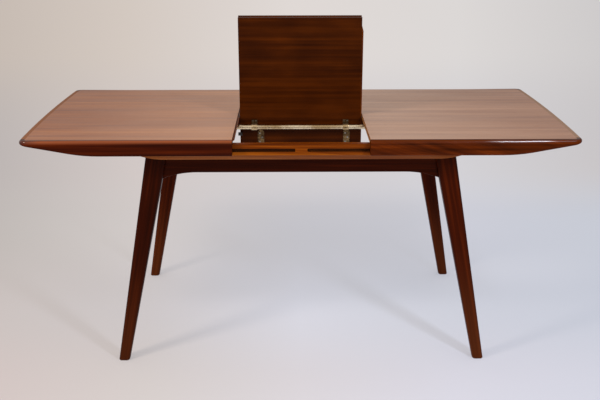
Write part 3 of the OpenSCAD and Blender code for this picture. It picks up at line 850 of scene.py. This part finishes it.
@dataclass(frozen=True)
class ScrewSet:
    """The screws of one CAD node, with a driver's slot cut across each head."""

    node: str
    axis: Triple
    facing: Facing
    head_r: float
    slot_w: float = 0.0009
    slot_depth: float = 0.0006
    finish: Metal = STEEL
    first_turn: float = 0.5
    next_turn: float = 1.9

    def heads(self, piece: bpy.types.Object) -> list[tuple[Vector, Vector]]:
        """The middle of each head's face and the way that it looks.

        Args:
            piece: All the screws in one mesh.

        Returns:
            One pair for each screw.
        """
        vertices = piece.data.vertices
        root = list(range(len(vertices)))

        def top(index: int) -> int:
            """The vertex that stands for a whole screw.

            Args:
                index: Any vertex of the screw.

            Returns:
                The number of that screw's own vertex.
            """
            while root[index] != index:
                root[index] = root[root[index]]
                index = root[index]
            return index

        for edge in piece.data.edges:
            first, second = sorted((top(edge.vertices[0]), top(edge.vertices[1])))
            root[second] = first
        screws: dict[int, list[Vector]] = {}
        for index, vertex in enumerate(vertices):
            screws.setdefault(top(index), []).append(vertex.co.copy())
        found = []
        for places in screws.values():
            middle = sum(places, Vector()) / len(places)
            axis = Vector(self.axis).normalized()
            way = axis * self.facing.sign(middle.dot(axis))
            face = max(place.dot(way) for place in places)
            rim = [place for place in places if place.dot(way) > face - MERGE_GAP]
            found.append((sum(rim, Vector()) / len(rim), way))
        return found

    def cutter(self, heads: list[tuple[Vector, Vector]]) -> bpy.types.Object:
        """A flat bar across every head, each turned its own way, joined in one piece.

        Args:
            heads: The middle and the way of each head.

        Returns:
            The joined bars.
        """
        bars = []
        for number, (middle, way) in enumerate(heads):
            turned = way.to_track_quat("Z", "Y") @ Quaternion(Z_WAY, self.first_turn + self.next_turn * number)
            size = (self.head_r * 2.4, self.slot_w, self.slot_depth * 2)
            bpy.ops.object.select_all(action="DESELECT")
            bpy.ops.mesh.primitive_cube_add(size=1, location=middle, rotation=turned.to_euler(), scale=size)
            bars.append(bpy.context.active_object)
        for bar in bars:
            bar.select_set(True)
        bpy.ops.object.join()
        return bpy.context.active_object

    def build(self, body: str) -> bpy.types.Object:
        """Shapes, slots and dresses the screws.

        Args:
            body: The CAD body they move with.

        Returns:
            The screws in one piece.
        """
        piece = copied(self.node, f"{self.node}_fitting")
        cutter = self.cutter(self.heads(piece))
        only(piece)
        slots = piece.modifiers.new("slots", "BOOLEAN")
        slots.operation = "DIFFERENCE"
        slots.solver = "EXACT"
        slots.object = cutter
        bpy.ops.object.modifier_apply(modifier=slots.name)
        bpy.data.objects.remove(cutter, do_unlink=True)
        softened(piece, 0.0)
        finished(piece, body, self.finish, self.node)
        return piece


# ---------- Sub-assemblies ----------


@dataclass
class UnderFrame:
    """Four splayed legs, four curved aprons, cross rails, blocks, bolts and rests."""

    foot_x: float = 0.5885
    foot_y: float = 0.397
    leg_top_x: float = 0.460
    leg_top_y: float = 0.341
    leg_top_z: float = 0.6947
    leg_eased: float = 0.0006
    apron_eased: float = 0.0012
    rail_eased: float = 0.001
    body: str = "frame"

    def legs(self) -> None:
        """The four legs, each with its grain along its own slant."""
        for number, (side_x, side_y) in enumerate([(-1, -1), (1, -1), (-1, 1), (1, 1)]):
            name = f"{'left' if side_x < 0 else 'right'}_{'front' if side_y < 0 else 'back'}_leg"
            slant = (
                side_x * (self.leg_top_x - self.foot_x),
                side_y * (self.leg_top_y - self.foot_y),
                self.leg_top_z,
            )
            start = (0.7 * number, 0.13 * number, 0.21 * number)
            # The front left leg keeps the frame wood; the other three take its lighter copy, which is painted
            # light.
            wood = FRAME_WOOD if (side_x, side_y) == (-1, -1) else FRAME_WOOD_PAINTED_LIGHT
            Board(name, wood, slant, X_WAY, start, self.leg_eased).build(self.body)

    def aprons(self) -> None:
        """The front, back and end aprons."""
        for number, name in enumerate(["front_apron", "back_apron"]):
            start = (3.1 * number, 0.4, 0.3)
            Board(name, FRAME_WOOD, X_WAY, Z_WAY, start, self.apron_eased).build(self.body)
        for number, name in enumerate(["left_apron", "right_apron"]):
            start = (1.7 * number, 0.7, 0.1)
            Board(name, FRAME_WOOD, Y_WAY, Z_WAY, start, self.apron_eased).build(self.body)

    def inner_rails(self) -> None:
        """The cross rails, the end rails, the corner blocks and the leaf's rests."""
        for number, name in enumerate(["left_cross_rail", "right_cross_rail", "left_end_rail", "right_end_rail"]):
            start = (2.3 * number, 0.2, 0.6)
            Board(name, FRAME_WOOD, Y_WAY, Z_WAY, start, self.rail_eased).build(self.body)
        Board("corner_blocks", RAIL_WOOD, Z_WAY, X_WAY, (0.4, 0.9, 0.2), self.rail_eased).build(self.body)
        Board("stow_rests", RAIL_WOOD, X_WAY, Y_WAY, (5.2, 0.3, 0.2), self.rail_eased).build(self.body)
        Fitting("corner_bolts", STEEL).build(self.body)

    def build(self) -> None:
        """Builds the whole under-frame."""
        self.legs()
        self.aprons()
        self.inner_rails()


@dataclass
class GuideRails:
    """The front and back rails in which the halves slide, and their screws.

    The painted shade in the slots starts just inside the rail's face and reaches a little past each slot's own
    sides and floor.
    """

    slot_z: float = 0.7165
    slot_h: float = 0.0105
    slot_depth: float = 0.012
    slot_end_x: float = 0.392
    shade_inset: float = 0.0009
    past_floor: float = 0.001
    past_side: float = 0.0005
    foot_top: float = 0.7008
    screw_x: tuple[float, ...] = (-0.46, -0.251, 0.251, 0.46)
    eased: float = 0.0008
    head_r: float = 0.0036
    driver_w: float = 0.0011
    driver_depth: float = 0.0009
    body: str = "frame"

    def build(self) -> None:
        """Builds both rails, with painted shade in their slots and painted light on their canted foot."""
        for number, name in enumerate(["front_guide_rail", "back_guide_rail"]):
            start = (4.4 * number, 0.5, 0.1)
            rail = Board(name, RAIL_WOOD, X_WAY, Z_WAY, start, self.eased, self.screw_x).build(self.body)
            low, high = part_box(name)
            outer, way = (low[1], 1) if number == 0 else (high[1], -1)
            near, far = sorted((outer + way * self.shade_inset, outer + way * (self.slot_depth + self.past_floor)))
            half = self.slot_h / 2 + self.past_side
            bottom, top = self.slot_z - half, self.slot_z + half
            # Painted shade on the sides, floor and back wall of each slot.
            relined(rail, SLOT_PAINTED_SHADE, (-self.slot_end_x, near, bottom), (self.slot_end_x, far, top))
            # Painted light on the canted foot under the slots.
            relined(rail, RAIL_FOOT_PAINTED_LIGHT, tuple(low), (high[0], high[1], self.foot_top))
        screws = ScrewSet("rail_screws", Y_WAY, Facing.OUTWARDS, self.head_r, self.driver_w, self.driver_depth)
        screws.build(self.body)


@dataclass
class TopHalf:
    """One sliding half of the top: panel, edge bands, runners and their screws."""

    side: str
    veneer: Wood
    edge: Wood
    band: Wood
    end: Wood
    start: Triple = (0.0, 0.0, 0.0)
    eased: float = 0.0004
    head_r: float = 0.0024
    hair: float = 0.0001

    def build(self) -> None:
        """Builds the half on its own body."""
        body = f"{self.side}_half"
        x, y, z = self.start
        panel = Board(f"{self.side}_top_panel", self.veneer, X_WAY, Y_WAY, self.start, self.eased).build(body)
        low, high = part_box(f"{self.side}_top_panel")
        inner = high[0] if self.side == "left" else low[0]
        relined(panel, self.edge, (inner - self.hair, low[1], low[2]), (inner + self.hair, high[1], high[2]))
        for number, place in enumerate(["front", "back"]):
            start = (x + 1.3 * number, y + 0.3, z + 0.2)
            Board(f"{self.side}_{place}_band", self.band, X_WAY, Z_WAY, start, 0.0).build(body)
        Board(f"{self.side}_end_band", self.end, Y_WAY, Z_WAY, (x, y + 0.6, z), 0.0).build(body)
        Board(f"{self.side}_runners", RAIL_WOOD, X_WAY, Y_WAY, (x, y, 0.4), self.eased).build(body)
        ScrewSet(f"{self.side}_runner_screws", Y_WAY, Facing.INWARDS, self.head_r).build(body)
        if self.side == "left":
            Board("left_tongue", RAIL_WOOD, Y_WAY, Z_WAY, (x, 0.8, 0.4), self.eased).build(body)


@dataclass
class FoldingLeaf:
    """The centre leaf folded on its rod, with its brackets, hinges and peg."""

    lean: float = 6.0
    wrap_low: float = 0.706
    wrap_high: float = 0.7285
    panel_eased: float = 0.0005
    strip_eased: float = 0.0004
    fitting_eased: float = 0.0005
    head_r: float = 0.0028

    def backwards(self) -> Triple:
        """The way that the back of the leaning leaf looks."""
        lean = math.radians(self.lean)
        return (0.0, math.cos(lean), math.sin(lean))

    def forwards(self) -> Triple:
        """The way that the front of the leaning leaf looks."""
        _, y, z = self.backwards()
        return (0.0, -y, -z)

    def panels(self) -> None:
        """The two leaf panels, with their top sides veneered as the halves are, and their tongue strips."""
        _, y, z = self.backwards()
        rise = (0.0, -z, y)
        for number, side in enumerate(["front", "back"]):
            body = f"{side}_leaf"
            start = (2.9 * number + 0.6, 0.35, 0.15)
            panel = Board(f"{side}_leaf_panel", LEAF_VENEER, X_WAY, rise, start, self.panel_eased).build(body)
            faced(panel, UNFADED_VENEER, self.backwards() if side == "front" else self.forwards())
            Board(f"{side}_leaf_tongue", RAIL_WOOD, rise, X_WAY, start, self.strip_eased).build(body)

    def fittings(self) -> None:
        """The rod, its brackets, the strap hinges, the peg and the screws."""
        Fitting("leaf_rod", ROD_METAL, self.fitting_eased).build("leaf_axle")
        Fitting("front_hinge_straps", BRASS).build("front_leaf")
        for name in ["left_rod_bracket", "right_rod_bracket"]:
            bracket = Fitting(name, BRASS).build("front_leaf")
            low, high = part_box(name)
            relined(bracket, RUBBED_BRASS, (low[0], low[1], self.wrap_low), (high[0], high[1], self.wrap_high))
        for name in ["bracket_screws", "hinge_screws"]:
            ScrewSet(name, self.forwards(), Facing.SAME, self.head_r).build("front_leaf")
        Fitting("leaf_peg", PEG_RUBBER, self.strip_eased).build("front_leaf")
        Fitting("back_hinge_straps", BRASS).build("back_leaf")
        ScrewSet("back_hinge_screws", self.backwards(), Facing.SAME, self.head_r).build("back_leaf")
        Fitting("hinge_pins", STEEL, 0.0).build("back_leaf")

    def sockets(self) -> None:
        """The flanges that hold the rod's ends, and their screws."""
        for name in ["left_rod_socket", "right_rod_socket"]:
            Fitting(name, BRASS, self.fitting_eased).build("frame")
        ScrewSet("socket_screws", X_WAY, Facing.INWARDS, self.head_r).build("frame")

    def build(self) -> None:
        """Builds the leaf and all that carries it."""
        self.panels()
        self.fittings()
        self.sockets()


# ---------- Stage, lamps and camera ----------


@dataclass(frozen=True)
class ToneRow:
    """The floor's tones of painted light from left to right, at one distance behind the table's middle."""

    distance: float
    left: Colour
    mid_left: Colour
    middle: Colour
    mid_right: Colour
    right: Colour

    def stops(self) -> list[tuple[float, tuple]]:
        """The tones as the stops of a colour ramp."""
        tones = [self.left, self.mid_left, self.middle, self.mid_right, self.right]
        return [(number / 4, linear(tone)) for number, tone in enumerate(tones)]


@dataclass
class Stage:
    """A plain pale floor whose tones are painted light, warmer on the left and cooler on the right as the lamps
    are, and an even surrounding.

    The floor's tones fan out from a spot that is fixed in the room, fan_point metres in front of the table's
    middle, which is where the camera first stands. They lie on the floor and stay there when the camera moves.
    """

    half_width: float = 40.0
    glow: float = 0.5
    sky: Colour = (214, 208, 204)
    sky_tint: Colour = (255, 252, 248)
    sky_light: float = 0.87
    spread: float = 0.33
    fan_point: float = 3.475
    fan_start: float = 1.5
    rows: tuple[ToneRow, ...] = (
        ToneRow(-1.8, (208, 204, 206), (208, 204, 206), (208, 204, 206), (208, 204, 206), (208, 204, 206)),
        ToneRow(-0.6, (200, 190, 189), (206, 200, 199), (212, 208, 213), (211, 210, 220), (205, 206, 217)),
        ToneRow(0.0, (198, 191, 190), (206, 202, 204), (218, 219, 229), (210, 213, 224), (200, 204, 216)),
        ToneRow(1.0, (192, 187, 185), (210, 205, 205), (206, 206, 214), (207, 209, 220), (202, 206, 217)),
        ToneRow(2.2, (188, 182, 181), (211, 203, 202), (214, 210, 213), (213, 212, 217), (203, 200, 203)),
        ToneRow(7.0, (201, 190, 182), (217, 207, 200), (230, 224, 222), (226, 223, 223), (210, 208, 210)),
    )

    def tone(self, bench: Bench) -> Wire:
        """The floor's painted light, by bearing from the fan's spot and by distance from the table.

        Args:
            bench: The floor material's bench.

        Returns:
            The colour.
        """
        x, y, _ = bench.parts(bench.place())
        reach = {0: y + self.fan_point, 1: self.fan_start}
        distance = bench.node("ShaderNodeMath", {"operation": "MAXIMUM"}, reach)
        bearing = (x / distance) / (2 * self.spread) + 0.5
        colour: Wire | None = None
        before: ToneRow | None = None
        for row in self.rows:
            tones = bench.node("ShaderNodeValToRGB", {"stops": row.stops()}, {"Fac": bearing}, "Color")
            share = y.step(before.distance, row.distance) if before else 1.0
            colour = bench.blend(share, colour, tones) if colour else tones
            before = row
        return colour

    def seen(self, bench: Bench) -> Wire:
        """One for a ray that shows the background, straight or in a mirror or glass, and nought for lighting.

        Args:
            bench: The bench of the floor or the world.

        Returns:
            The share.
        """
        rays = bench.node("ShaderNodeLightPath", {}, {}).socket.node.outputs
        camera, mirror, glass = [
            Wire(bench, rays[name]) for name in ["Is Camera Ray", "Is Glossy Ray", "Is Transmission Ray"]
        ]
        return (camera + mirror + glass).clamped()

    def floor(self) -> None:
        """A wide floor that keeps the table's shadow."""
        bpy.ops.object.select_all(action="DESELECT")
        bpy.ops.mesh.primitive_plane_add(size=2 * self.half_width, location=(0, 0, 0))
        floor = bpy.context.active_object
        floor.name = "floor"
        bench = Bench(bpy.data.materials.new("pale floor"))
        tone = self.tone(bench)
        painted = bench.node(
            "ShaderNodeBsdfPrincipled", {}, {"Base Color": tone, "Roughness": 1.0, "Specular IOR Level": 0.0},
        )
        black = (0.0, 0.0, 0.0, 1.0)
        lit = bench.node(
            "ShaderNodeBsdfPrincipled", {},
            {"Base Color": black, "Specular IOR Level": 0.0, "Emission Color": tone, "Emission Strength": 1.0},
        )
        mixed = bench.node("ShaderNodeMixShader", {}, {0: self.seen(bench) * self.glow, 1: painted, 2: lit})
        floor.data.materials.append(bench.surface(mixed))

    def surroundings(self) -> None:
        """An even world, with the backdrop's tone where it is seen or mirrored."""
        bench = Bench(bpy.data.worlds.new("soft room"), "ShaderNodeOutputWorld")
        even = {"Color": linear(self.sky_tint), "Strength": self.sky_light}
        light = bench.node("ShaderNodeBackground", {}, even)
        backdrop = bench.node("ShaderNodeBackground", {}, {"Color": linear(self.sky)})
        mixed = bench.node("ShaderNodeMixShader", {}, {0: self.seen(bench), 1: light, 2: backdrop})
        bpy.context.scene.world = bench.surface(mixed)

    def build(self) -> None:
        """Lays the floor and sets the surroundings."""
        self.floor()
        self.surroundings()


@dataclass
class SoftLamp:
    """One wide lamp that points at the table."""

    name: str
    place: Triple
    power: float
    width: float
    height: float
    colour: Colour
    aim: Triple = (0.0, 0.0, 0.6)

    def build(self) -> None:
        """Hangs the lamp."""
        light = bpy.data.lights.new(self.name, "AREA")
        light.shape = "RECTANGLE"
        light.size = self.width
        light.size_y = self.height
        light.energy = self.power
        light.color = linear(self.colour)[:3]
        lamp = bpy.data.objects.new(self.name, light)
        bpy.context.scene.collection.objects.link(lamp)
        lamp.location = self.place
        way = Vector(self.aim) - Vector(self.place)
        lamp.rotation_euler = way.to_track_quat("-Z", "Y").to_euler()


@dataclass
class ViewCamera:
    """The camera, with its angles in degrees."""

    place: Triple = (-0.03445, -3.47468, 1.45729)
    pitch_down: float = 16.4414
    turn: float = -0.57054
    roll: float = -0.05046
    lens: float = 60.358
    sensor: float = 36.0
    sight: float = 200.0

    def build(self) -> None:
        """Sets up the camera and makes it the scene's."""
        data = bpy.data.cameras.new("view")
        data.lens = self.lens
        data.sensor_width = self.sensor
        data.clip_end = self.sight
        camera = bpy.data.objects.new("view", data)
        bpy.context.scene.collection.objects.link(camera)
        turned = (
            Matrix.Rotation(math.radians(self.turn), 4, "Z")
            @ Matrix.Rotation(math.radians(90 - self.pitch_down), 4, "X")
            @ Matrix.Rotation(math.radians(self.roll), 4, "Z")
        )
        camera.matrix_world = Matrix.Translation(self.place) @ turned
        bpy.context.scene.camera = camera


@dataclass
class Studio:
    """The stage, the lamps and the camera together."""

    lamps: list[SoftLamp] = field(
        default_factory=lambda: [
            SoftLamp("left lamp", (-1.8, -1.6, 2.2), 32.0, 0.45, 0.45, (255, 240, 222)),
            SoftLamp("right lamp", (1.25, -2.1, 2.2), 36.0, 0.22, 1.1, (228, 238, 255)),
        ]
    )

    def build(self) -> None:
        """Builds the studio."""
        bpy.context.scene.view_settings.view_transform = "Standard"
        ViewCamera().build()
        Stage().build()
        for lamp in self.lamps:
            lamp.build()


def main() -> None:
    """Builds the studio and every sub-assembly of the table in order."""
    logging.basicConfig(level=logging.INFO, format="%(name)s: %(message)s")
    Studio().build()
    UnderFrame().build()
    GuideRails().build()
    TopHalf("left", TOP_VENEER, FRAME_WOOD, BAND_WOOD, END_BAND).build()
    TopHalf("right", PALE_VENEER, GOLDEN_EDGE, REDDER_BAND, PALER_END_BAND, (6.3, 0.11, 0.07)).build()
    FoldingLeaf().build()


if __name__ == "__main__":
    main()
